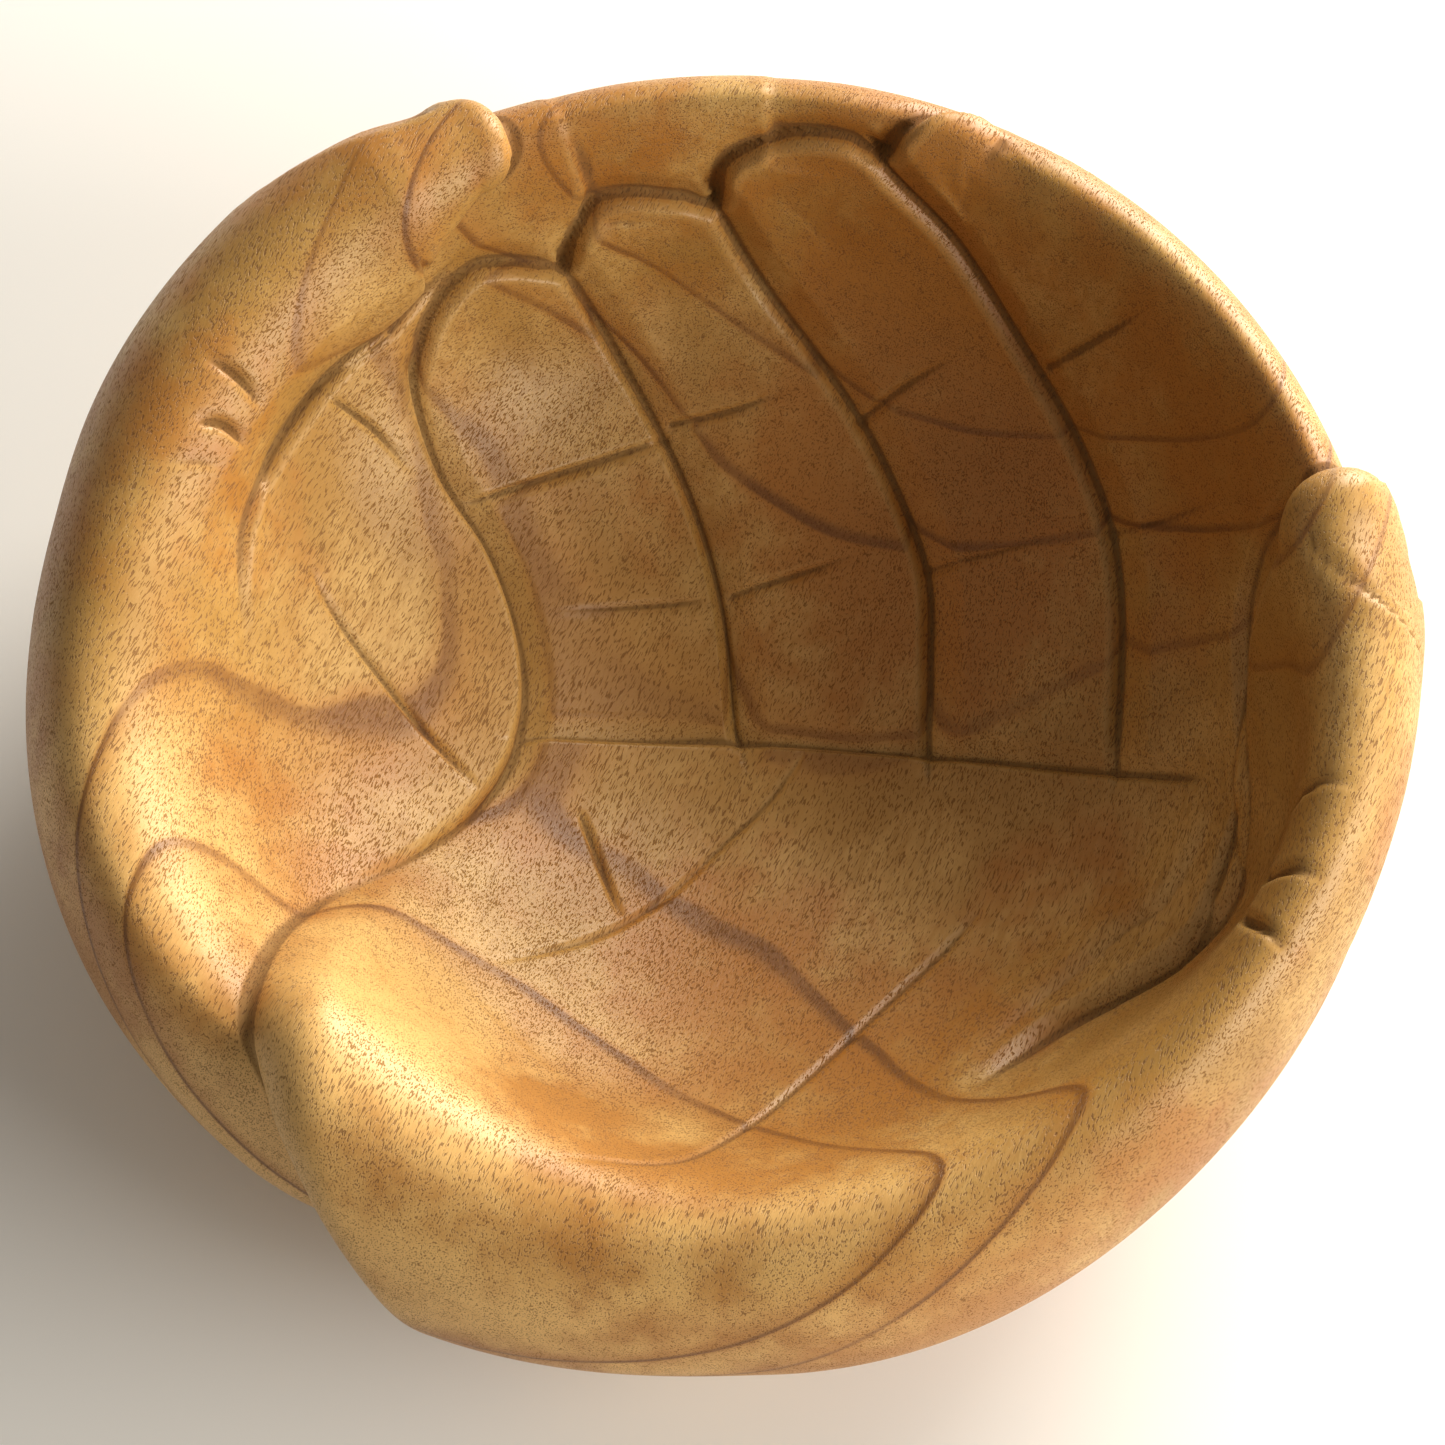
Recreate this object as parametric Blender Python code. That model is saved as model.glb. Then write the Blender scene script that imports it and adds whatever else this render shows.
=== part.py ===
"""A bowl carved as two cupped hands, the right hand lying over the left, from one block of wood.

The block is first a turned blank: meridians through stations round the bowl.  The hands are then
cut into it.  Every cut is laid out on an unrolled map of the surface, where a point's direction is
its azimuth and its distance from the middle is the length walked along the meridian, from the
centre of the inside, over the rim and down the flank.  The work is in millimetres, and the mesh is
turned into metres at the end.  +Z is up, +Y points to the fingertips, and the origin is the middle
of the foot.
"""
import bmesh
import bpy
import numpy as np

NAME = "carved_bowl"
MM = 0.001
WOOD_COLOUR = (0.56, 0.34, 0.14, 1.0)
WOOD_ROUGHNESS = 0.55

# mesh: meridians round the bowl, and rings inside and outside the rim
SEGMENTS = 108
INNER_RINGS = 34
OUTER_RINGS = 22
RIM_SHARE = 0.46
# no slope or edge is narrower than this, so that the mesh can hold it
GRAIN = 6.0
# wood left on everywhere but the foot, for the finest cuts to be taken from
STOCK = 0.9

# turned blank
FOOT_R = 62.0
FLOOR_Z = 17.0
FLOOR_REACH = 0.30
# the carving fades out between these shares of the meridian, so that the foot stays flat
PLAIN_FROM = 0.68
PLAIN_ALL = 0.80

# azimuth in degrees: inner wall radius, height and slope; rim crest radius and height;
# widest radius and its height
STATIONS = {
    0: (106, 54, 57, 125, 97, 138, 62),
    30: (108, 56, 58, 126, 99, 138, 63),
    60: (107, 56, 58, 126, 99, 139, 64),
    90: (106, 56, 58, 126, 100, 142, 65),
    120: (106, 56, 58, 125, 101, 141, 65),
    150: (102, 57, 54, 125, 99, 144, 64),
    180: (92, 57, 46, 124, 97, 147, 62),
    210: (84, 51, 38, 126, 92, 145, 58),
    240: (80, 45, 32, 126, 85, 140, 52),
    270: (78, 43, 29, 117, 76, 134, 48),
    300: (82, 44, 31, 119, 79, 139, 50),
    330: (92, 49, 42, 122, 88, 139, 56),
}


def clear_scene():
    for thing in list(bpy.data.objects):
        bpy.data.objects.remove(thing, do_unlink=True)


def round_curve(azimuth, column):
    """One station column as a smooth closed curve round the bowl."""
    keys = sorted(STATIONS)
    values = np.array([STATIONS[key][column] for key in keys], float)
    marks = np.radians(keys)
    half = len(keys) // 2
    total = np.full(np.shape(azimuth), values.mean())
    for k in range(1, half + 1):
        share = (1.0 if k == half else 2.0) / len(keys)
        total = total + share * (values @ np.cos(k * marks)) * np.cos(k * azimuth)
        total = total + share * (values @ np.sin(k * marks)) * np.sin(k * azimuth)
    return total


def bezier(corners, t):
    """A cubic Bezier through (r, z); the four corners are pairs of arrays."""
    a, b, c, d = (np.stack(np.broadcast_arrays(*q), -1)[..., None, :] for q in corners)
    t = t[:, None]
    return (1 - t)**3 * a + 3 * (1 - t)**2 * t * b + 3 * (1 - t) * t * t * c + t**3 * d


def meridians(azimuth):
    """(r, z) down each meridian: inside centre, wall, rim, flank, foot, underside centre."""
    wall_r, wall_z, slope, rim_r, rim_z, wide_r, wide_z = (
        round_curve(azimuth, column) for column in range(7))
    run = np.cos(np.radians(slope))
    rise = np.sin(np.radians(slope))
    nil = np.zeros_like(wall_r)
    floor = FLOOR_Z + nil
    foot = FOOT_R + nil
    before = 0.30 * np.hypot(wall_r, wall_z - FLOOR_Z)
    after = 0.45 * np.hypot(rim_r - wall_r, rim_z - wall_z)
    spans = [
        [(nil, floor), (FLOOR_REACH * wall_r, floor),
         (wall_r - before * run, wall_z - before * rise), (wall_r, wall_z)],
        [(wall_r, wall_z), (wall_r + after * run, wall_z + after * rise),
         (rim_r - 0.35 * (rim_r - wall_r), rim_z), (rim_r, rim_z)],
        [(rim_r, rim_z), (rim_r + 0.6 * (wide_r - rim_r), rim_z),
         (wide_r, wide_z + 0.5 * (rim_z - wide_z)), (wide_r, wide_z)],
        [(wide_r, wide_z), (wide_r, 0.45 * wide_z),
         (foot + 0.45 * (wide_r - foot), nil + 2), (foot, nil)],
        [(foot, nil), (foot * 2 / 3, nil), (foot / 3, nil), (nil, nil)],
    ]
    t = np.linspace(0, 1, 80)
    parts = [bezier(span, t)[:, (1 if i else 0):] for i, span in enumerate(spans)]
    return np.concatenate(parts, axis=1)


def lay_out(azimuth, share):
    """Points at shares 0..1 of each meridian, and the lengths walked to reach them."""
    line = meridians(azimuth)
    hop = np.hypot(*np.moveaxis(np.diff(line, axis=1), -1, 0))
    walked = np.concatenate([np.zeros((len(azimuth), 1)), hop.cumsum(1)], 1)
    walk = walked[:, -1:] * share
    r = np.empty_like(walk)
    z = np.empty_like(walk)
    for i in range(len(azimuth)):
        r[i] = np.interp(walk[i], walked[i], line[i, :, 0])
        z[i] = np.interp(walk[i], walked[i], line[i, :, 1])
    return np.stack([r * np.cos(azimuth)[:, None], r * np.sin(azimuth)[:, None], z], -1), walk


class Blank:
    """The uncarved bowl on a grid of meridians and rings, with the height carved at each point."""

    def __init__(self, azimuth, share):
        self.share = share
        self.point, walk = lay_out(azimuth, share)
        aside = lay_out(azimuth + 0.004, share)[0]
        deep = lay_out(azimuth, np.clip(share + 0.002, 0, 1))[0]
        shallow = lay_out(azimuth, np.clip(share - 0.002, 0, 1))[0]
        normal = np.cross(deep - shallow, aside - self.point)
        length = np.linalg.norm(normal, axis=-1, keepdims=True)
        self.normal = normal / np.maximum(length, 1e-9)
        self.normal[:, 0] = (0, 0, 1)
        self.normal[:, -1] = (0, 0, -1)
        around = np.stack([np.cos(azimuth), np.sin(azimuth)], -1)[:, None]
        self.map = (walk[..., None] * around).reshape(-1, 2)
        radius = np.hypot(self.point[..., 0], self.point[..., 1])
        self.squeeze = np.where(walk > 1, radius / np.maximum(walk, 1), 1).ravel()
        self.height = np.zeros(walk.size)

    def carved(self):
        """The carved points."""
        height = self.height.reshape(self.point.shape[:2]) + STOCK
        height = height * fade((self.share - PLAIN_FROM) / (PLAIN_ALL - PLAIN_FROM))
        return self.point + self.normal * height[..., None]


def fade(x):
    """1 up to 0, falling smoothly to 0 at 1."""
    x = np.clip(x, 0, 1)
    return (1 - x)**2 * (1 + 2 * x)


def smooth_line(points):
    """A Catmull-Rom line through rows of numbers that start with the map x and y, in 1 mm steps."""
    p = np.array(points, float)
    p = np.vstack([2 * p[0] - p[1], p, 2 * p[-1] - p[-2]])
    rows = []
    for i in range(1, len(p) - 2):
        steps = max(2, int(np.hypot(*(p[i + 1] - p[i])[:2])))
        t = np.linspace(0, 1, steps, endpoint=False)[:, None]
        a, b, c, d = p[i - 1:i + 3]
        rows.append(0.5 * (2 * b + (c - a) * t + (2 * a - 5 * b + 4 * c - d) * t**2
                           + (3 * b - a - 3 * c + d) * t**3))
    rows.append(p[-2:-1])
    return np.vstack(rows)


def nearest(blank, line, reach):
    """Points within reach of a line: their index, distance (+ on its left) and the line there."""
    low = line[:, :2].min(0) - 1.5 * reach
    high = line[:, :2].max(0) + 1.5 * reach
    index = np.flatnonzero(((blank.map > low) & (blank.map < high)).all(1))
    found = []
    for part in np.array_split(index, max(1, len(index) // 20000)):
        spot = blank.map[part]
        best = ((line[:, :2]**2).sum(1) - 2 * spot @ line[:, :2].T).argmin(1)
        best = best.clip(1, len(line) - 2)
        span = (line[best + 1] - line[best - 1])[:, :2]
        behind = (((spot - line[best, :2]) * span).sum(1) < 0)[:, None]
        start = np.where(behind, line[best - 1], line[best])
        end = np.where(behind, line[best], line[best + 1])
        run = (end - start)[:, :2]
        t = (((spot - start[:, :2]) * run).sum(1) / (run**2).sum(1)).clip(0, 1)
        at = start + (end - start) * t[:, None]
        off = spot - at[:, :2]
        out = spot / np.maximum(np.hypot(*spot.T), 1e-6)[:, None]
        across = off[:, 1] * out[:, 0] - off[:, 0] * out[:, 1]
        distance = np.sqrt((off**2).sum(1) - (1 - blank.squeeze[part]**2) * across**2)
        left = run[:, 0] * off[:, 1] - run[:, 1] * off[:, 0] > 0
        near = distance < reach
        found.append((part[near], np.where(left, distance, -distance)[near], at[near]))
    return tuple(np.concatenate(group) for group in zip(*found))


def cut(blank, left, right, points):
    """A V-tool cut; points are (x, y, depth), and left and right the widths of its two slopes."""
    left = max(left, GRAIN)
    right = max(right, GRAIN)
    index, d, at = nearest(blank, smooth_line(points), max(left, right))
    x = np.abs(d) / np.where(d > 0, left, right)
    blank.height[index] -= np.maximum(at[:, 2], 0) * np.clip(1 - x, 0, 1)**1.15


def ledge(blank, edge, reach, points):
    """Ground raised on the left of a line and dying away; points are (x, y, height)."""
    edge = max(edge, GRAIN)
    index, d, at = nearest(blank, smooth_line(points), reach)
    rise = 1 - (1 - np.clip(d / edge, 0, 1))**2.2
    blank.height[index] += at[:, 2] * rise * fade(d / reach)


def limb(blank, blunt, points):
    """A rounded ridge; points are (x, y, left width, right width, height)."""
    line = smooth_line(points)
    index, d, at = nearest(blank, line, line[:, 2:4].max())
    x = np.abs(d) / np.where(d > 0, at[:, 2], at[:, 3])
    blank.height[index] += at[:, 4] * (1 - np.clip(x, 0, 1)**blunt)**0.5


def swell(blank, left, right, points):
    """Ground swollen along a line, or hollowed where the height is negative."""
    index, d, at = nearest(blank, smooth_line(points), max(left, right))
    x = np.abs(d) / np.where(d > 0, left, right)
    blank.height[index] += at[:, 2] * fade(x)


def carve_thumbs(blank):
    """Both thumbs lie along the rim, each with a groove along its inner edge."""
    limb(blank, 5, [(-138, -70, 40, 30, 0), (-148, -40, 42, 36, 0.5), (-155, -10, 46, 29, 3),
                    (-158, 20, 48, 31, 5), (-156, 48, 46, 35, 7), (-152, 70, 34, 34, 9),
                    (-145, 80, 24, 28, 9.5), (-139, 87, 15, 20, 9.5), (-135, 91, 7, 8, 9.5)])
    limb(blank, 5, [(152, -44, 34, 34, 0), (158, -14, 36, 34, 0.5), (162, 14, 36, 30, 2),
                    (156, 44, 42, 30, 4), (145, 74, 42, 34, 6), (139, 91, 31, 30, 8),
                    (135, 101, 16, 18, 8.5)])
    swell(blank, 26, 20, [(112, -18, 0), (126, -2, -2), (136, 14, -3.5), (138, 36, -4),
                          (128, 62, -3), (114, 84, 0)])
    cut(blank, 4, 13, [(-118, 77, 0), (-118, 62, 1.5), (-121, 48, 3), (-126, 31, 5),
                       (-127, 17, 6), (-127, -1, 5.5), (-124, -20, 4), (-118, -31, 2.5),
                       (-104, -48, 0)])
    cut(blank, 10, 4, [(119, 113, 0), (110, 105, 1.5), (101, 94, 1.5), (99, 78, 2), (106, 60, 2.4),
                       (119, 37, 2.4), (122, 21, 3), (120, 9, 4), (115, -1, 4.5),
                       (107, -12, 4), (98, -25, 3), (93, -40, 2), (89, -57, 0)])


def carve_heel(blank):
    """The right hand's heel stands above the left hand's, over the rim and down the flank."""
    ledge(blank, 13, 80, [(-38, -26, 0), (-42, -40, 0.3), (-46, -56, 1.5), (-53, -78, 4),
                          (-56, -104, 7), (-50, -128, 9.5), (-37, -143, 11), (-22, -155, 11),
                          (-6, -172, 10), (5, -200, 8), (10, -235, 4), (12, -262, 0)])
    ledge(blank, 2, 34, [(12, -262, 0), (10, -235, -2), (5, -200, -3.5), (-6, -172, -4.5),
                         (-22, -155, -4.5), (-37, -143, -4), (-50, -128, -3), (-56, -104, -2),
                         (-53, -78, -1), (-46, -56, 0)])


def carve_palms(blank):
    """The left palm's edge lies over the right hand; a crease crosses the finger roots."""
    ledge(blank, 3, 26, [(-54, -86, 0), (-52, -74, 0.8), (-46, -56, 2), (-42, -40, 3),
                         (-42, -23, 3.4), (-47, -8, 3.4), (-57, 6, 3.2), (-72, 18, 3),
                         (-91, 26, 2.6), (-108, 39, 1.2), (-113, 49, 0)])
    cut(blank, 7, 3, [(-114, 44, 0), (-108, 39, 1.2), (-91, 26, 3), (-72, 18, 3), (-57, 6, 3),
                      (-47, -8, 2.8), (-42, -23, 2.5), (-42, -38, 1.6), (-46, -56, 0)])
    cut(blank, 6, 1.5, [(-44, -18, 0.5), (-36, -10, 1.8), (-2, 11, 2), (38, 27, 2.2),
                        (71, 36, 1.8), (92, 40, 1.5), (104, 41, 0)])


def carve_fingers(blank):
    """Grooves between the right hand's fingers, and their tips standing above the left hand's."""
    cut(blank, 9, 4.5, [(-92, 84, 3), (-73, 76, 3.5), (-51, 64, 3.2), (-34, 51, 3.2),
                        (-19, 35, 3.2), (-6, 16, 3), (-2, 11, 1.5)])
    cut(blank, 8, 4.5, [(-68, 119, 3), (-48, 106, 3), (-24, 95, 2.8), (-5, 84, 2.8),
                        (16, 66, 2.8), (27, 47, 2.8), (37, 27, 1.5)])
    cut(blank, 5, 8, [(-33, 151, 3), (-8, 138, 3), (17, 120, 2.8), (37, 105, 2.8),
                      (53, 89, 2.6), (64, 71, 2.4), (74, 48, 2.2), (78, 39, 1)])
    ledge(blank, 2.5, 30, [(-5, 173, 0.5), (-14, 172, 2.2), (-24, 167, 3), (-30, 160, 3.2),
                           (-33, 152, 2.7), (-44, 152, 3), (-56, 147, 3.3), (-66, 139, 3.3),
                           (-71, 130, 3.3), (-68, 119, 2.7), (-77, 116, 3), (-88, 110, 3.3),
                           (-95, 102, 3.3), (-95, 93, 3.2), (-92, 85, 2.7), (-97, 82, 3),
                           (-106, 77, 3.2), (-113, 70, 3.2), (-115, 59, 3), (-113, 49, 2.5),
                           (-106, 37, 1.5), (-92, 27, 0)])


def bowl_mesh():
    """A sphere whose rings and meridians are moved onto the carved surface."""
    rings = INNER_RINGS + OUTER_RINGS
    inside = np.linspace(0, RIM_SHARE, INNER_RINGS + 1)
    outside = np.linspace(RIM_SHARE, 1, OUTER_RINGS + 1)[1:]
    azimuth = np.linspace(0, 2 * np.pi, SEGMENTS, endpoint=False)
    blank = Blank(azimuth, np.concatenate([inside, outside]))
    carve_thumbs(blank)
    carve_heel(blank)
    carve_palms(blank)
    carve_fingers(blank)
    points = blank.carved() * MM
    shape = bmesh.new()
    bmesh.ops.create_uvsphere(shape, u_segments=SEGMENTS, v_segments=rings, radius=1)
    for vertex in shape.verts:
        x, y, z = vertex.co
        ring = round(np.arccos(min(1, max(-1, z))) / np.pi * rings)
        side = 0 if ring in (0, rings) else round(np.arctan2(y, x) / 2 / np.pi * SEGMENTS)
        vertex.co = points[side % SEGMENTS, ring]
    bmesh.ops.recalc_face_normals(shape, faces=shape.faces)
    for face in shape.faces:
        face.smooth = True
    mesh = bpy.data.meshes.new(NAME)
    shape.to_mesh(mesh)
    shape.free()
    return mesh


def wood_material():
    material = bpy.data.materials.new("wood")
    material.use_nodes = True
    shader = material.node_tree.nodes["Principled BSDF"]
    shader.inputs["Base Color"].default_value = WOOD_COLOUR
    shader.inputs["Roughness"].default_value = WOOD_ROUGHNESS
    shader.inputs["Metallic"].default_value = 0.0
    return material


def main():
    clear_scene()
    collection = bpy.data.collections.new("Carved wooden bowl")
    bpy.context.scene.collection.children.link(collection)
    bowl = bpy.data.objects.new(NAME, bowl_mesh())
    bowl.data.materials.append(wood_material())
    collection.objects.link(bowl)


main()
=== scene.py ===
"""The visible bowl: the same two cupped hands as the solid model, carved finely, in open-pored wood.

The blank, the unrolled map and the main cuts are those of the solid model.  Here the mesh is fine
enough for sharp tools, so the cuts are narrow, and the knuckle creases, palm lines, nicks, nails and
the outside of the hands are added.  Lengths are in millimetres up to the point where the mesh is
made.
"""
import math

import bmesh
import bpy
import numpy as np
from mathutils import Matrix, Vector


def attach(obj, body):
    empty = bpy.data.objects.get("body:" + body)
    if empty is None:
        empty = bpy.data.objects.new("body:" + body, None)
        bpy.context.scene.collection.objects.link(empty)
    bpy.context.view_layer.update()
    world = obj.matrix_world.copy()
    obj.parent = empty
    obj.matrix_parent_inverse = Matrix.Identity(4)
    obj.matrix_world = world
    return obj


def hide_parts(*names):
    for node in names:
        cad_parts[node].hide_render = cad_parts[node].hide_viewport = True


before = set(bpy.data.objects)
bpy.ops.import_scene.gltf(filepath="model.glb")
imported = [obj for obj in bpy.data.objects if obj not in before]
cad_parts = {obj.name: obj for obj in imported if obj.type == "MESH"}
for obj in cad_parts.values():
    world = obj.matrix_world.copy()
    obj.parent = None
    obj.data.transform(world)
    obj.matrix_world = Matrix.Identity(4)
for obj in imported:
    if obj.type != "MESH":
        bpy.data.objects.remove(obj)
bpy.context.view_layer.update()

MM = 0.001

# mesh: meridians round the bowl, rings inside and outside the rim, and the share of each meridian
# at which the rim lies
SEGMENTS = 760
INNER_RINGS = 250
OUTER_RINGS = 160
RIM_SHARE = 0.46

# turned blank
FOOT_R = 62.0
FLOOR_Z = 17.0
FLOOR_REACH = 0.30
# the carving fades out between these shares of the meridian, so that the foot stays flat
PLAIN_FROM = 0.68
PLAIN_ALL = 0.80
# inner corners of a meridian's curves, as shares of the width or height of each curve
BELOW_WALL = 0.30
ABOVE_WALL = 0.45
INSIDE_RIM = 0.35
OUTSIDE_RIM = 0.6
OVER_WIDEST = 0.5
UNDER_WIDEST = 0.45
OUTSIDE_FOOT = 0.45
FOOT_ROUND = 2
CURVE_POINTS = 80
# steps to the side and along a meridian that give a point's surface direction
TURN_STEP = 0.004
SHARE_STEP = 0.002

# tools: how hollow a V-cut's slopes and how round a ledge's edge and a thumb's back are
SLOPE_POWER = 1.15
EDGE_POWER = 2.2
THUMB_BLUNT = 5
# a knife line at a groove's bottom, as a share of the groove's depth, and the cut round the
# fingertips, as a share of their height
KNIFE_SHARE = 0.25
TIP_CUT_SHARE = 0.7
# lengths on the map may be longer than on the bowl by this factor near a line
MAP_STRETCH = 1.5
# map points that are compared with a line at a time
CHUNK = 20000
# the ground that hollows are measured from is a running mean over these neighbours, taken twice
BLUR_STEPS = range(-2, 3)
BLUR_TURNS = 2
HOLLOW = "hollow"

# azimuth in degrees: inner wall radius, height and slope; rim crest radius and height;
# widest radius and its height
STATIONS = {
    0: (106, 54, 57, 125, 97, 138, 62),
    30: (108, 56, 58, 126, 99, 138, 63),
    60: (107, 56, 58, 126, 99, 139, 64),
    90: (106, 56, 58, 126, 100, 142, 65),
    120: (106, 56, 58, 125, 101, 141, 65),
    150: (102, 57, 54, 125, 99, 144, 64),
    180: (92, 57, 46, 124, 97, 147, 62),
    210: (84, 51, 38, 126, 92, 145, 58),
    240: (80, 45, 32, 126, 85, 140, 52),
    270: (78, 43, 29, 117, 76, 134, 48),
    300: (82, 44, 31, 119, 79, 139, 50),
    330: (92, 49, 42, 122, 88, 139, 56),
}


def round_curve(azimuth, column):
    """One station column as a smooth closed curve round the bowl."""
    keys = sorted(STATIONS)
    values = np.array([STATIONS[key][column] for key in keys], float)
    marks = np.radians(keys)
    half = len(keys) // 2
    total = np.full(np.shape(azimuth), values.mean())
    for k in range(1, half + 1):
        share = (1.0 if k == half else 2.0) / len(keys)
        total = total + share * (values @ np.cos(k * marks)) * np.cos(k * azimuth)
        total = total + share * (values @ np.sin(k * marks)) * np.sin(k * azimuth)
    return total


def bezier(corners, t):
    """A cubic Bezier through (r, z); the four corners are pairs of arrays."""
    a, b, c, d = (np.stack(np.broadcast_arrays(*q), -1)[..., None, :] for q in corners)
    t = t[:, None]
    return (1 - t)**3 * a + 3 * (1 - t)**2 * t * b + 3 * (1 - t) * t * t * c + t**3 * d


def meridians(azimuth):
    """(r, z) down each meridian: inside centre, wall, rim, flank, foot, underside centre."""
    wall_r, wall_z, slope, rim_r, rim_z, wide_r, wide_z = (
        round_curve(azimuth, column) for column in range(7))
    run = np.cos(np.radians(slope))
    rise = np.sin(np.radians(slope))
    nil = np.zeros_like(wall_r)
    floor = FLOOR_Z + nil
    foot = FOOT_R + nil
    before = BELOW_WALL * np.hypot(wall_r, wall_z - FLOOR_Z)
    after = ABOVE_WALL * np.hypot(rim_r - wall_r, rim_z - wall_z)
    spans = [
        [(nil, floor), (FLOOR_REACH * wall_r, floor),
         (wall_r - before * run, wall_z - before * rise), (wall_r, wall_z)],
        [(wall_r, wall_z), (wall_r + after * run, wall_z + after * rise),
         (rim_r - INSIDE_RIM * (rim_r - wall_r), rim_z), (rim_r, rim_z)],
        [(rim_r, rim_z), (rim_r + OUTSIDE_RIM * (wide_r - rim_r), rim_z),
         (wide_r, wide_z + OVER_WIDEST * (rim_z - wide_z)), (wide_r, wide_z)],
        [(wide_r, wide_z), (wide_r, UNDER_WIDEST * wide_z),
         (foot + OUTSIDE_FOOT * (wide_r - foot), nil + FOOT_ROUND), (foot, nil)],
        [(foot, nil), (foot * 2 / 3, nil), (foot / 3, nil), (nil, nil)],
    ]
    t = np.linspace(0, 1, CURVE_POINTS)
    parts = [bezier(span, t)[:, (1 if i else 0):] for i, span in enumerate(spans)]
    return np.concatenate(parts, axis=1)


def lay_out(azimuth, share):
    """Points at shares 0..1 of each meridian, and the lengths walked to reach them."""
    line = meridians(azimuth)
    hop = np.hypot(*np.moveaxis(np.diff(line, axis=1), -1, 0))
    walked = np.concatenate([np.zeros((len(azimuth), 1)), hop.cumsum(1)], 1)
    walk = walked[:, -1:] * share
    r = np.empty_like(walk)
    z = np.empty_like(walk)
    for i in range(len(azimuth)):
        r[i] = np.interp(walk[i], walked[i], line[i, :, 0])
        z[i] = np.interp(walk[i], walked[i], line[i, :, 1])
    return np.stack([r * np.cos(azimuth)[:, None], r * np.sin(azimuth)[:, None], z], -1), walk


class Blank:
    """The uncarved bowl on a grid of meridians and rings, with the height carved at each point."""

    def __init__(self, azimuth, share):
        self.share = share
        self.point, walk = lay_out(azimuth, share)
        aside = lay_out(azimuth + TURN_STEP, share)[0]
        deep = lay_out(azimuth, np.clip(share + SHARE_STEP, 0, 1))[0]
        shallow = lay_out(azimuth, np.clip(share - SHARE_STEP, 0, 1))[0]
        normal = np.cross(deep - shallow, aside - self.point)
        length = np.linalg.norm(normal, axis=-1, keepdims=True)
        self.normal = normal / np.maximum(length, 1e-9)
        self.normal[:, 0] = (0, 0, 1)
        self.normal[:, -1] = (0, 0, -1)
        around = np.stack([np.cos(azimuth), np.sin(azimuth)], -1)[:, None]
        self.map = (walk[..., None] * around).reshape(-1, 2)
        # lengths round the bowl, as shares of the same lengths on the map
        radius = np.hypot(self.point[..., 0], self.point[..., 1])
        self.squeeze = np.where(walk > 1, radius / np.maximum(walk, 1), 1).ravel()
        self.height = np.zeros(walk.size)

    def carved(self):
        """The carved points."""
        height = self.height.reshape(self.point.shape[:2])
        height = height * fade((self.share - PLAIN_FROM) / (PLAIN_ALL - PLAIN_FROM))
        return self.point + self.normal * height[..., None]


def fade(x):
    """1 up to 0, falling smoothly to 0 at 1."""
    x = np.clip(x, 0, 1)
    return (1 - x)**2 * (1 + 2 * x)


def smooth_line(points):
    """A Catmull-Rom line through rows of numbers that start with the map x and y, in 1 mm steps."""
    p = np.array(points, float)
    p = np.vstack([2 * p[0] - p[1], p, 2 * p[-1] - p[-2]])
    rows = []
    for i in range(1, len(p) - 2):
        steps = max(2, int(np.hypot(*(p[i + 1] - p[i])[:2])))
        t = np.linspace(0, 1, steps, endpoint=False)[:, None]
        a, b, c, d = p[i - 1:i + 3]
        rows.append(0.5 * (2 * b + (c - a) * t + (2 * a - 5 * b + 4 * c - d) * t**2
                           + (3 * b - a - 3 * c + d) * t**3))
    rows.append(p[-2:-1])
    return np.vstack(rows)


def nearest(blank, line, reach):
    """Points within reach of a line: their index, distance (+ on its left) and the line there."""
    low = line[:, :2].min(0) - MAP_STRETCH * reach
    high = line[:, :2].max(0) + MAP_STRETCH * reach
    index = np.flatnonzero(((blank.map > low) & (blank.map < high)).all(1))
    found = []
    for part in np.array_split(index, max(1, len(index) // CHUNK)):
        spot = blank.map[part]
        best = ((line[:, :2]**2).sum(1) - 2 * spot @ line[:, :2].T).argmin(1)
        best = best.clip(1, len(line) - 2)
        span = (line[best + 1] - line[best - 1])[:, :2]
        behind = (((spot - line[best, :2]) * span).sum(1) < 0)[:, None]
        start = np.where(behind, line[best - 1], line[best])
        end = np.where(behind, line[best], line[best + 1])
        run = (end - start)[:, :2]
        t = (((spot - start[:, :2]) * run).sum(1) / (run**2).sum(1)).clip(0, 1)
        at = start + (end - start) * t[:, None]
        off = spot - at[:, :2]
        out = spot / np.maximum(np.hypot(*spot.T), 1e-6)[:, None]
        # the part of the way that runs round the bowl is shorter on the bowl than on the map
        across = off[:, 1] * out[:, 0] - off[:, 0] * out[:, 1]
        distance = np.sqrt((off**2).sum(1) - (1 - blank.squeeze[part]**2) * across**2)
        left = run[:, 0] * off[:, 1] - run[:, 1] * off[:, 0] > 0
        near = distance < reach
        found.append((part[near], np.where(left, distance, -distance)[near], at[near]))
    return tuple(np.concatenate(group) for group in zip(*found))


def cut(blank, left, right, points):
    """A V-tool cut; points are (x, y, depth), and left and right the widths of its two slopes."""
    index, d, at = nearest(blank, smooth_line(points), max(left, right))
    x = np.abs(d) / np.where(d > 0, left, right)
    blank.height[index] -= np.maximum(at[:, 2], 0) * np.clip(1 - x, 0, 1)**SLOPE_POWER


def ledge(blank, edge, reach, points):
    """Ground raised on the left of a line and dying away; points are (x, y, height)."""
    index, d, at = nearest(blank, smooth_line(points), reach)
    rise = 1 - (1 - np.clip(d / edge, 0, 1))**EDGE_POWER
    blank.height[index] += at[:, 2] * rise * fade(d / reach)


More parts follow.
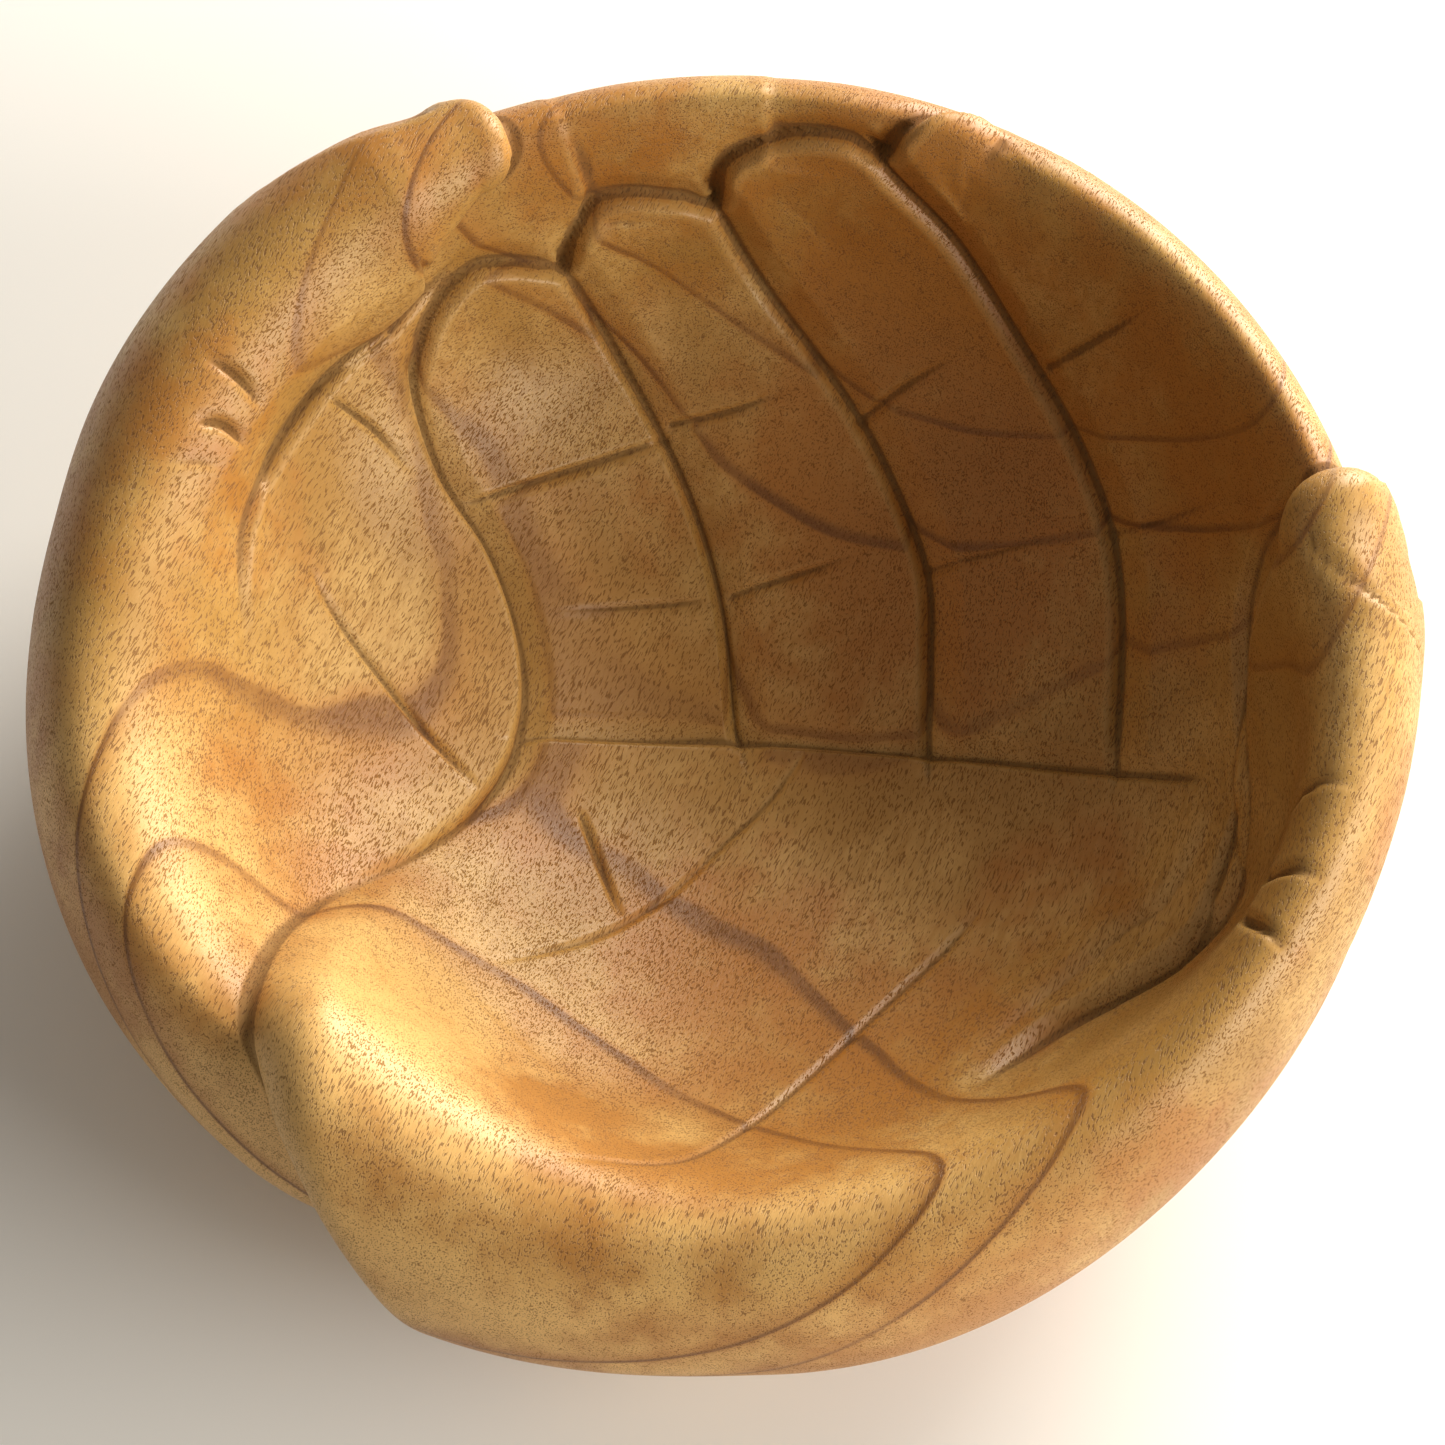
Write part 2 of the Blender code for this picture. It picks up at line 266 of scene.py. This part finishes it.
def limb(blank, blunt, points):
    """A rounded ridge; points are (x, y, left width, right width, height)."""
    line = smooth_line(points)
    index, d, at = nearest(blank, line, line[:, 2:4].max())
    x = np.abs(d) / np.where(d > 0, at[:, 2], at[:, 3])
    blank.height[index] += at[:, 4] * (1 - np.clip(x, 0, 1)**blunt)**0.5


def swell(blank, left, right, points):
    """Ground swollen along a line, or hollowed where the height is negative."""
    index, d, at = nearest(blank, smooth_line(points), max(left, right))
    x = np.abs(d) / np.where(d > 0, left, right)
    blank.height[index] += at[:, 2] * fade(x)


def carve_thumbs(blank):
    """Both thumbs lie along the rim, each with a groove along its inner edge."""
    left_thumb = [
        (-138, -70, 40, 30, 0), (-148, -40, 42, 36, 0.5), (-155, -10, 46, 29, 3),
        (-158, 20, 48, 31, 5), (-156, 48, 46, 35, 7), (-152, 70, 34, 31, 9),
        (-147, 77, 29, 26, 9), (-143, 82, 23, 20.5, 8.5), (-138, 88, 16, 14.5, 8),
        (-133.5, 93, 9.5, 9.5, 7.5)]
    limb(blank, blunt=THUMB_BLUNT, points=left_thumb)
    right_thumb = [
        (152, -44, 34, 34, 0), (158, -14, 36, 34, 0.5), (162, 14, 36, 30, 2),
        (156, 44, 42, 30, 4), (145, 74, 42, 34, 6), (139, 91, 31, 30, 8),
        (135, 101, 16, 18, 8.5)]
    limb(blank, blunt=THUMB_BLUNT, points=right_thumb)
    # the wall is hollowed beside the right thumb
    right_pit = [
        (112, -18, 0), (126, -2, -2), (136, 14, -3.5), (138, 36, -4), (128, 62, -3),
        (114, 84, 0)]
    swell(blank, left=26, right=20, points=right_pit)
    # each thumbnail is a flat cut below the thumb's round back, with a fine line at its edge
    left_nail = [
        (-170, 46, 0), (-163, 56, -1.5), (-154, 68, -2.5), (-146, 80, -3), (-140, 90, -3),
        (-137, 97, 0)]
    ledge(blank, edge=6, reach=60, points=left_nail)
    left_nail_line = [
        (-166, 52, 0), (-163, 56, 0.5), (-154, 68, 0.6), (-146, 80, 0.5), (-141, 88, 0)]
    cut(blank, left=1, right=1, points=left_nail_line)
    right_nail = [
        (127, 118, 0), (127, 112, -1), (129, 101, -2), (138, 90, -2), (148, 82, -1.2),
        (162, 82, 0)]
    ledge(blank, edge=5, reach=40, points=right_nail)
    right_nail_line = [
        (127, 112, 0), (129, 101, 0.9), (138, 90, 1.2), (148, 82, 1.2), (162, 82, 0.8),
        (168, 76, 0)]
    cut(blank, left=1, right=1, points=right_nail_line)
    # grooves along the thumbs' inner edges
    left_groove = [
        (-118, 77, 0), (-118, 62, 1.5), (-121, 48, 3), (-126, 31, 5), (-127, 17, 5),
        (-127, -1, 4), (-124, -20, 2.5), (-118, -31, 1.5), (-104, -48, 0)]
    cut(blank, left=2.5, right=12, points=left_groove)
    right_groove = [
        (119, 113, 0), (110, 105, 1.5), (101, 94, 1.5), (99, 78, 2), (106, 60, 2.4),
        (119, 37, 2.4), (122, 21, 3), (120, 9, 4), (115, -1, 4.5), (107, -12, 4), (98, -25, 3),
        (93, -40, 2), (89, -57, 0)]
    cut(blank, left=10, right=4, points=right_groove)
    # skin folds behind the thumbs' middle joints
    nicks = (
        [(-154, 0, 0), (-148, 1, 1.6), (-139, 0, 0)],
        [(-148, -16, 0), (-143, -11, 1.8), (-135, -10, 0)],
        [(-147, -30, 0), (-142, -23, 0.5), (-136, -18, 0)],
        [(143, 32, 0), (152, 30, 2), (165, 35, 0)],
        [(142, 15, 0), (152, 8, 2.8), (168, 9, 0)],
        [(140, 3, 0), (152, -5, 2.8), (166, -12, 0)],
    )
    for nick in nicks:
        cut(blank, left=3, right=1, points=nick)


def carve_heel(blank):
    """The right hand's heel stands above the left hand's, over the rim and down the flank."""
    heel = [
        (-38, -26, 0), (-42, -40, 0.3), (-46, -56, 1.5), (-53, -78, 4), (-56, -104, 7),
        (-50, -128, 9.5), (-37, -143, 11), (-22, -155, 11), (-6, -172, 10), (5, -200, 8),
        (10, -235, 4), (12, -262, 0)]
    ledge(blank, edge=13, reach=80, points=heel)
    # the left hand sinks beside the heel
    beside_heel = [
        (12, -262, 0), (10, -235, -2), (5, -200, -3.5), (-6, -172, -4.5), (-22, -155, -4.5),
        (-37, -143, -4), (-50, -128, -3), (-56, -104, -2), (-53, -78, -1), (-46, -56, 0)]
    ledge(blank, edge=2, reach=34, points=beside_heel)


def carve_palms(blank):
    """The left palm's edge lies over the right hand; a crease crosses the finger roots."""
    left_palm = [
        (-54, -86, 0), (-52, -74, 0.8), (-46, -56, 2), (-42, -40, 3), (-42, -23, 3.4),
        (-47, -8, 3.4), (-57, 6, 3.2), (-72, 18, 3), (-91, 26, 2.6), (-108, 39, 1.2),
        (-113, 49, 0)]
    ledge(blank, edge=3, reach=26, points=left_palm)
    under_left_palm = [
        (-114, 44, 0), (-108, 39, 1.2), (-91, 26, 3), (-72, 18, 3), (-57, 6, 3),
        (-47, -8, 2.8), (-42, -23, 2.5), (-42, -38, 1.6), (-46, -56, 0)]
    cut(blank, left=7, right=3, points=under_left_palm)
    finger_roots = [
        (-44, -18, 0.5), (-36, -10, 1.8), (-2, 11, 2), (38, 27, 2.2), (71, 36, 1.8),
        (92, 40, 1.5), (104, 41, 0)]
    cut(blank, left=6, right=1.5, points=finger_roots)
    # the right palm's edge beside the thumb's root
    right_palm = [
        (89, -57, 0), (88, -33, 1.2), (94, -13, 2.2), (100, 2, 2.4), (106, 10, 2.4),
        (108, 27, 1.5), (106, 39, 0)]
    ledge(blank, edge=9, reach=14, points=right_palm)
    beside_right_palm = [
        (90, -56, 0), (98, -25, 1.2), (107, -12, 1.8), (116, 2, 2), (116, 27, 2), (114, 43, 0)]
    cut(blank, left=2, right=5, points=beside_right_palm)
    palm_lines = (
        [(-24, -23, 0), (-19, -27, 1.2), (-8, -37, 1), (-1, -43, 0)],
        [(12, 15, 0.5), (11, 2, 0.8), (7, -14, 0.9), (3, -33, 0.9), (-5, -52, 0.9),
         (-20, -74, 0)],
        [(66, 2, 0), (64, -14, 0.8), (60, -34, 0.9), (56, -58, 0.9), (51, -84, 0.9),
         (45, -110, 0.8), (25, -128, 0)],
        [(-127, 19, 0.5), (-111, 22, 1.2), (-96, 20, 0)],
        [(-106, -16, 0), (-91, -22, 1), (-73, -27, 1.2), (-56, -32, 1), (-43, -36, 0)],
    )
    for line in palm_lines:
        cut(blank, left=1.4, right=1.4, points=line)


def carve_fingers(blank):
    """Grooves between the right hand's fingers, and their tips standing above the left hand's."""
    gaps = (
        [(-92, 84, 3), (-73, 76, 3.5), (-51, 64, 3.2), (-34, 51, 3.2), (-19, 35, 3.2),
         (-6, 16, 3), (-2, 11, 1.5)],
        [(-68, 119, 3), (-48, 106, 3), (-24, 95, 2.8), (-5, 84, 2.8), (16, 66, 2.8),
         (27, 47, 2.8), (37, 27, 1.5)],
        [(-33, 151, 3), (-8, 138, 3), (17, 120, 2.8), (37, 105, 2.8), (53, 89, 2.6),
         (64, 71, 2.4), (74, 48, 2.2), (78, 39, 1)],
    )
    for gap in gaps:
        cut(blank, left=8, right=2.6, points=gap)
        bottom = [(x, y, KNIFE_SHARE * depth) for x, y, depth in gap]
        cut(blank, left=1.2, right=0.8, points=bottom)
    # the ends of all four fingers in one line, from the far side to the left
    tips = [
        (-5, 173, 0.5), (-14, 172, 2.2), (-24, 167, 3), (-30, 160, 3.2), (-33, 152, 2.7),
        (-44, 152, 3), (-56, 147, 3.3), (-66, 139, 3.3), (-71, 130, 3.3), (-68, 119, 2.7),
        (-77, 116, 3), (-88, 110, 3.3), (-95, 102, 3.3), (-95, 93, 3.2), (-92, 85, 2.7),
        (-97, 82, 3), (-106, 77, 3.2), (-113, 70, 3.2), (-115, 59, 3), (-113, 49, 2.5),
        (-106, 37, 1.5), (-92, 27, 0)]
    ledge(blank, edge=2.5, reach=30, points=tips)
    beyond_tips = [(x, y, TIP_CUT_SHARE * height) for x, y, height in tips]
    cut(blank, left=2, right=6, points=beyond_tips)
    # knuckle creases
    creases = (
        [(-83, 23, 0), (-79, 28, 1), (-72, 38, 1.4), (-61, 52, 1.4), (-51, 64, 1)],
        [(-55, 13, 0), (-40, 25, 0.9), (-28, 34, 0.9), (-24, 37, 0)],
        [(-51, 68, 1.2), (-40, 78, 1.3), (-31, 88, 0)],
        [(-20, 41, 1), (-9, 52, 1.3), (3, 64, 0)],
        [(-13, 89, 1), (-6, 101, 1.2), (4, 114, 0)],
        [(17, 66, 0.8), (31, 76, 0.8), (48, 88, 0)],
        [(25, 118, 1.2), (37, 130, 1.3), (54, 146, 0)],
        [(53, 88, 0.6), (67, 95, 0.8), (88, 107, 0)],
    )
    for crease in creases:
        cut(blank, left=1.2, right=2.5, points=crease)


def carve_outside(blank):
    """The left hand's fingers wrap the far side, and end on the rim one after another."""
    fingers = (
        [(-94, 94, 0), (-97, 97, 1.6), (-100, 103, 2.2), (-107, 108, 1.8), (-115, 113, 0.6),
         (-130, 122, 0.5), (-158, 118, 1.6), (-186, 102, 1.5), (-210, 72, 1.2), (-224, 36, 0)],
        [(-62, 136, 0), (-64, 141, 1.6), (-69, 149, 0.8), (-80, 166, 0.2), (-108, 175, 0.8),
         (-148, 164, 1.6), (-188, 136, 1.5), (-216, 98, 1.2), (-234, 54, 0)],
        [(-9, 160, 0), (-6, 168, 1.2), (-5, 174, 0.2), (-8, 194, 0.2), (-40, 213, 1),
         (-90, 216, 1.6), (-140, 201, 1.6), (-186, 170, 1.5), (-220, 124, 1.2), (-242, 70, 0)],
    )
    for finger in fingers:
        step_down = [(x, y, -depth) for x, y, depth in reversed(finger)]
        ledge(blank, edge=3, reach=20, points=step_down)


def ring_shares():
    """Shares of each meridian at which the mesh has its rings; they lie closer inside the rim."""
    inside = np.linspace(0, RIM_SHARE, INNER_RINGS + 1)
    outside = np.linspace(RIM_SHARE, 1, OUTER_RINGS + 1)[1:]
    return np.concatenate([inside, outside])


def hollows(height):
    """How far each point lies below the ground around it."""
    ground = height
    for turn in range(BLUR_TURNS):
        for axis in (0, 1):
            ground = sum(np.roll(ground, step, axis) for step in BLUR_STEPS) / len(BLUR_STEPS)
    return ground - height


def bowl_mesh():
    """A sphere whose rings and meridians are moved onto the carved surface."""
    rings = INNER_RINGS + OUTER_RINGS
    azimuth = np.linspace(0, 2 * np.pi, SEGMENTS, endpoint=False)
    blank = Blank(azimuth, ring_shares())
    carve_thumbs(blank)
    carve_heel(blank)
    carve_palms(blank)
    carve_fingers(blank)
    carve_outside(blank)
    points = blank.carved() * MM
    hollow = hollows(blank.height.reshape(points.shape[:2]))
    shape = bmesh.new()
    bmesh.ops.create_uvsphere(shape, u_segments=SEGMENTS, v_segments=rings, radius=1)
    bmesh.ops.recalc_face_normals(shape, faces=shape.faces)
    mesh = bpy.data.meshes.new("bowl_carving")
    shape.to_mesh(mesh)
    shape.free()
    # the ring and the meridian on which each vertex of the sphere lies
    place = np.empty(len(mesh.vertices) * 3)
    mesh.vertices.foreach_get("co", place)
    x, y, z = place.reshape(-1, 3).T
    ring = np.rint(np.arccos(z.clip(-1, 1)) / np.pi * rings).astype(int)
    side = np.rint(np.arctan2(y, x) / 2 / np.pi * SEGMENTS).astype(int) % SEGMENTS
    side[(ring == 0) | (ring == rings)] = 0
    mesh.vertices.foreach_set("co", points[side, ring].ravel())
    attribute = mesh.attributes.new(HOLLOW, "FLOAT", "POINT")
    attribute.data.foreach_set("value", hollow[side, ring])
    mesh.polygons.foreach_set("use_smooth", np.ones(len(mesh.polygons), bool))
    mesh.update()
    return mesh


class Nodes:
    """Short ways to add shader nodes."""

    def __init__(self, material):
        material.use_nodes = True
        self.tree = material.node_tree
        self.shader = self.tree.nodes["Principled BSDF"]

    def feed(self, socket, value):
        """Link a socket, or set a value; None leaves the socket as it is."""
        if isinstance(value, bpy.types.NodeSocket):
            self.tree.links.new(value, socket)
        elif value is not None:
            socket.default_value = value

    def math(self, operation, a, b=None):
        node = self.tree.nodes.new("ShaderNodeMath")
        node.operation = operation
        self.feed(node.inputs[0], a)
        self.feed(node.inputs[1], b)
        return node.outputs[0]

    def times(self, a, b):
        return self.math("MULTIPLY", a, b)

    def noise(self, place, scale, detail, rough=0.5):
        node = self.tree.nodes.new("ShaderNodeTexNoise")
        self.feed(node.inputs["Vector"], place)
        node.inputs["Scale"].default_value = scale
        node.inputs["Detail"].default_value = detail
        node.inputs["Roughness"].default_value = rough
        return node.outputs["Fac"]

    def span(self, value, low, high, start=0.0, end=1.0):
        """A smooth step from start at low to end at high."""
        node = self.tree.nodes.new("ShaderNodeMapRange")
        node.interpolation_type = "SMOOTHSTEP"
        self.feed(node.inputs["Value"], value)
        node.inputs["From Min"].default_value = low
        node.inputs["From Max"].default_value = high
        node.inputs["To Min"].default_value = start
        node.inputs["To Max"].default_value = end
        return node.outputs[0]

    def mix(self, share, a, b):
        """Colour a, with the given share of colour b."""
        node = self.tree.nodes.new("ShaderNodeMix")
        node.data_type = "RGBA"
        self.feed(node.inputs["Factor"], share)
        self.feed(node.inputs[6], a)
        self.feed(node.inputs[7], b)
        return node.outputs[2]


# colours of the wood
PALE = (0.61, 0.365, 0.115, 1)
TAN = (0.42, 0.220, 0.048, 1)
ORANGE = (0.42, 0.160, 0.022, 1)
RING_RED = (0.20, 0.075, 0.014, 1)
PORE = (0.16, 0.062, 0.014, 1)
# painted shade for the cuts, together with the stain that gathers there
CUT_SHADE_AND_STAIN = (0.085, 0.034, 0.006, 1)
# the pale colour painted on the heels and near side as a highlight
HEEL_HIGHLIGHT = (0.86, 0.52, 0.18, 1)

# the tree's heart is a line over the bowl, nearly level and nearly along +Y; height over the
# floor in mm, and how far it leans aside and down for each mm along +Y
HEART_Z = 134.0
HEART_LEAN_X = -0.084
HEART_LEAN_Z = -0.088
# lengths along the fibre are shrunk to this share, which draws noise out along it
FIBRE_DRAW = 0.15

# dark rings: radius from the heart, strength at the wrists and at the fingertips
RINGS = ((87, 0.0, 0.8), (101.5, 1.0, 1.0), (115, 1.0, 0.6))
# the rings' strength changes between these places along Y, in mm
WRISTS_Y = -45.0
TIPS_Y = 10.0
RING_WANDER = 8.0
RING_STRENGTH = 0.95
HALO_STRENGTH = 0.65

# painted highlight: the heels and near side are paled before the first of these places along Y, in
# mm
HEELS_Y = -105.0
PALMS_Y = -50.0
HEEL_HIGHLIGHT_STRENGTH = 0.75
PORE_STRENGTH = 0.68
# strength of the painted shade and stain in the cuts
SHADE_AND_STAIN_STRENGTH = 0.55
POLISHED = 0.42
DULL = 0.85
GRAIN_RELIEF = 0.4
PORE_DEPTH = 0.4 * MM
BUMP_STRENGTH = 0.5


def heart_axes(n, place):
    """Millimetres across from the heart line, along Y, and up from the heart line."""
    enlarge = n.tree.nodes.new("ShaderNodeVectorMath")
    enlarge.operation = "MULTIPLY"
    n.feed(enlarge.inputs[0], place)
    n.feed(enlarge.inputs[1], (1 / MM, 1 / MM, 1 / MM))
    axes = n.tree.nodes.new("ShaderNodeSeparateXYZ")
    n.feed(axes.inputs[0], enlarge.outputs[0])
    x, y, z = axes.outputs
    across = n.math("SUBTRACT", x, n.times(y, HEART_LEAN_X))
    up = n.math("SUBTRACT", n.math("SUBTRACT", z, HEART_Z), n.times(y, HEART_LEAN_Z))
    return across, y, up


def fibre_space(n, across, along, up):
    """A place for noise that is to be drawn out along the fibre."""
    pack = n.tree.nodes.new("ShaderNodeCombineXYZ")
    n.feed(pack.inputs[0], across)
    n.feed(pack.inputs[1], n.times(along, FIBRE_DRAW))
    n.feed(pack.inputs[2], up)
    return pack.outputs[0]


def ground_colour(n, place, fibre, along):
    """Pale and tan clouds and streaks, a painted highlight on the heels and orange patches."""
    cloud = n.noise(place, scale=22.0, detail=4.0, rough=0.6)
    colour = n.mix(n.span(cloud, 0.35, 0.65), TAN, PALE)
    streak = n.noise(fibre, scale=0.6, detail=5.0, rough=0.7)
    colour = n.mix(n.span(streak, 0.45, 0.65, 0.0, 0.8), colour, TAN)
    # painted highlight: the near side and the heels are paled toward the highlight colour
    colour = n.mix(n.span(along, HEELS_Y, PALMS_Y, HEEL_HIGHLIGHT_STRENGTH, 0.0), colour, HEEL_HIGHLIGHT)
    patch = n.noise(place, scale=13.0, detail=5.0, rough=0.65)
    return n.mix(n.span(patch, 0.45, 0.62, 0.0, 0.85), colour, ORANGE)


def add_rings(n, colour, place, across, along, up):
    """Growth rings round the heart: each a thin dark line with an orange halo on its inner side."""
    reach = n.math("SQRT", n.math("ADD", n.math("POWER", across, 2.0), n.math("POWER", up, 2.0)))
    sway = n.math("SUBTRACT", n.noise(place, scale=9.0, detail=3.5), 0.5)
    radius = n.math("ADD", reach, n.times(sway, RING_WANDER))
    uneven = n.span(n.noise(place, scale=30.0, detail=3.0, rough=0.6), 0.30, 0.62, 0.5, 1.0)
    for ring, at_wrists, at_tips in RINGS:
        strength = n.times(uneven, n.span(along, WRISTS_Y, TIPS_Y, at_wrists, at_tips))
        gap = n.math("SUBTRACT", radius, ring)
        halo = n.times(n.span(gap, -5.5, -0.3), n.span(gap, 0.2, 1.2, 1.0, 0.0))
        line = n.times(n.span(gap, -1.2, -0.2), n.span(gap, 0.1, 0.5, 1.0, 0.0))
        colour = n.mix(n.times(halo, n.times(strength, HALO_STRENGTH)), colour, ORANGE)
        colour = n.mix(n.times(line, n.times(strength, RING_STRENGTH)), colour, RING_RED)
    return colour


def open_pores(n, fibre):
    """1 in the pores, which are crowded in some stretches and sparse in others."""
    crowd = n.times(n.noise(fibre, scale=0.16, detail=2.0), 0.16)
    grain = n.noise(fibre, scale=3.4, detail=1.0, rough=0.4)
    return n.span(n.math("ADD", grain, crowd), 0.645, 0.725)


def wood_material():
    """Growth rings, pores drawn out along the fibre, painted shade with stain in the cuts and
    painted highlight on ridges.
    """
    material = bpy.data.materials.new("bowl_wood")
    n = Nodes(material)
    place = n.tree.nodes.new("ShaderNodeTexCoord").outputs["Object"]
    across, along, up = heart_axes(n, place)
    fibre = fibre_space(n, across, along, up)
    colour = ground_colour(n, place, fibre, along)
    colour = add_rings(n, colour, place, across, along, up)
    fine = n.noise(fibre, scale=4.5, detail=2.0)
    colour = n.mix(n.span(fine, 0.50, 0.75, 0.0, 0.45), colour, TAN)
    pores = open_pores(n, fibre)
    colour = n.mix(n.times(pores, PORE_STRENGTH), colour, PORE)
    # painted shade and stain darken the cuts; painted highlight and rubbing pale the edges between
    # them
    attribute = n.tree.nodes.new("ShaderNodeAttribute")
    attribute.attribute_name = HOLLOW
    hollow = attribute.outputs["Fac"]
    shade_and_stain = n.span(hollow, 0.06, 0.45)
    colour = n.mix(n.times(shade_and_stain, SHADE_AND_STAIN_STRENGTH), colour, CUT_SHADE_AND_STAIN)
    # painted highlight, partly rubbed wear: the edges between the cuts are paled
    colour = n.mix(n.span(hollow, -0.4, -0.1, 0.25, 0.0), colour, PALE)
    n.feed(n.shader.inputs["Base Color"], colour)
    dull = n.math("MAXIMUM", pores, shade_and_stain)
    n.feed(n.shader.inputs["Roughness"], n.span(dull, 0.0, 1.0, POLISHED, DULL))
    grain = n.times(n.noise(fibre, scale=2.0, detail=3.0, rough=0.6), GRAIN_RELIEF)
    bump = n.tree.nodes.new("ShaderNodeBump")
    bump.inputs["Strength"].default_value = BUMP_STRENGTH
    bump.inputs["Distance"].default_value = PORE_DEPTH
    n.feed(bump.inputs["Height"], n.math("SUBTRACT", grain, pores))
    n.feed(n.shader.inputs["Normal"], bump.outputs[0])
    return material


def plain_material(name, colour, roughness):
    material = bpy.data.materials.new(name)
    material.use_nodes = True
    shader = material.node_tree.nodes["Principled BSDF"]
    shader.inputs["Base Color"].default_value = colour
    shader.inputs["Roughness"].default_value = roughness
    return material


def make_bowl():
    bowl = bpy.data.objects.new("bowl_carving", bowl_mesh())
    bowl.data.materials.append(wood_material())
    bpy.context.scene.collection.objects.link(bowl)
    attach(bowl, "root")
    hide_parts("carved_bowl")


# studio; lengths in metres, angles in degrees
VIEW_AZIMUTH = 29.0
VIEW_ELEVATION = 65.0
VIEW_DISTANCE = 0.70
VIEW_CENTRE = Vector((0, 0, 0.05))
LENS = 82.2
SENSOR = 36.0
FLOOR_SIZE = 12
FLOOR_DROP = 0.0005
FLOOR_COLOUR = (0.93, 0.92, 0.90, 1)
FLOOR_ROUGHNESS = 0.8
# both lights are wide, low and on the right: one behind the bowl and one in front;
# azimuth from the view, elevation, power
LIGHTS = {"back": (54, 23, 50), "side": (-22, 24, 27)}
LIGHT_DISTANCE = 1.6
LIGHT_SIZE = 1.0
LIGHT_COLOUR = (1.0, 0.95, 0.86)
SKY_COLOUR = (1.0, 0.93, 0.82, 1)
SKY_STRENGTH = 0.25


def toward(azimuth, elevation):
    """A unit vector; azimuth is counted from +X toward +Y."""
    a = math.radians(azimuth)
    e = math.radians(elevation)
    return Vector((math.cos(a) * math.cos(e), math.sin(a) * math.cos(e), math.sin(e)))


def make_camera():
    data = bpy.data.cameras.new("camera")
    data.lens = LENS
    data.sensor_width = SENSOR
    camera = bpy.data.objects.new("camera", data)
    back = toward(VIEW_AZIMUTH - 90, VIEW_ELEVATION)
    camera.location = VIEW_CENTRE + back * VIEW_DISTANCE
    camera.rotation_euler = back.to_track_quat("Z", "Y").to_euler()
    bpy.context.scene.collection.objects.link(camera)
    bpy.context.scene.camera = camera


def make_floor():
    bpy.ops.mesh.primitive_plane_add(size=FLOOR_SIZE)
    floor = bpy.context.object
    floor.name = "floor"
    floor.location.z = -FLOOR_DROP
    floor.data.materials.append(plain_material("floor_white", FLOOR_COLOUR, FLOOR_ROUGHNESS))


def add_light(name, azimuth, elevation, power):
    data = bpy.data.lights.new(name, "AREA")
    data.size = LIGHT_SIZE
    data.energy = power
    data.color = LIGHT_COLOUR
    light = bpy.data.objects.new(name, data)
    away = toward(VIEW_AZIMUTH + azimuth, elevation)
    light.location = away * LIGHT_DISTANCE
    light.rotation_euler = away.to_track_quat("Z", "Y").to_euler()
    bpy.context.scene.collection.objects.link(light)


def make_light():
    """The two lights and a pale sky."""
    for name, (azimuth, elevation, power) in LIGHTS.items():
        add_light(name, azimuth, elevation, power)
    world = bpy.data.worlds.new("studio")
    world.use_nodes = True
    sky = world.node_tree.nodes["Background"]
    sky.inputs["Color"].default_value = SKY_COLOUR
    sky.inputs["Strength"].default_value = SKY_STRENGTH
    bpy.context.scene.world = world
    bpy.context.scene.view_settings.view_transform = "Standard"


make_bowl()
make_camera()
make_floor()
make_light()
